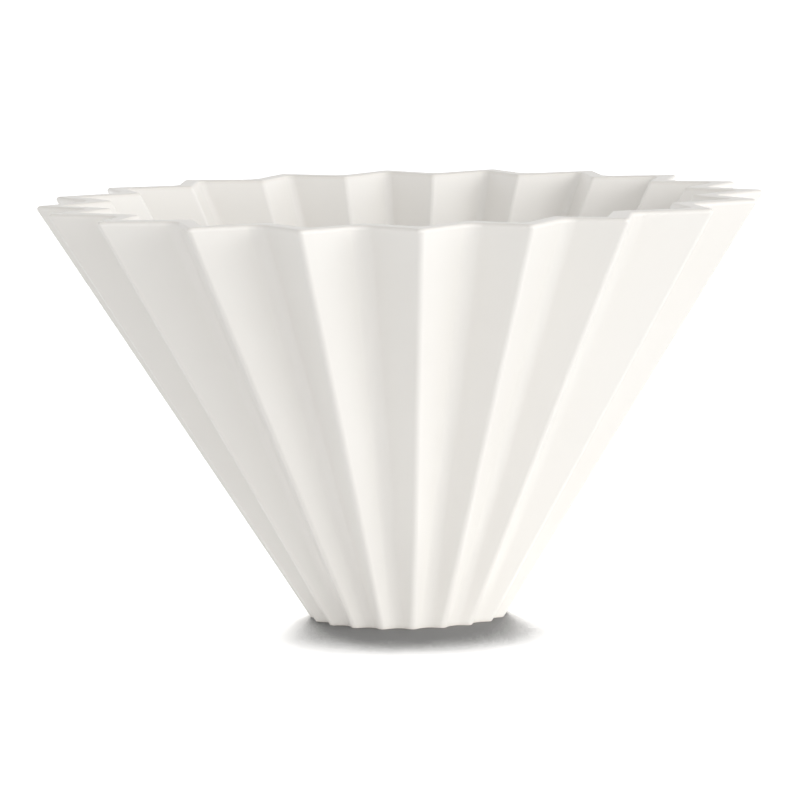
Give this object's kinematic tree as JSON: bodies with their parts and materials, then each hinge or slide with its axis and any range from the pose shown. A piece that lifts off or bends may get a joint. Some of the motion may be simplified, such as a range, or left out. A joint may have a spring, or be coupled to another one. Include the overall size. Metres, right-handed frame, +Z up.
{
  "type": "fluted coffee dripper",
  "caption": "Rigid fluted ceramic filter cone for pour-over coffee: a deep zigzag wall with a flat rim, narrowing to a small foot with a round outlet hole.",
  "frame": {"origin": "centre of the foot's flat face, on the cone's axis", "axes": "+Z up the axis towards the rim, -Y towards the viewer with a ridge on it, +X to the viewer's right"},
  "size_m": [0.1362, 0.1362, 0.079],
  "materials": {
    "white_glaze": "glossy white glaze, slightly warm"
  },
  "bodies": {
    "root": {"dripper_body": "white_glaze"}
  },
  "joints": []
}
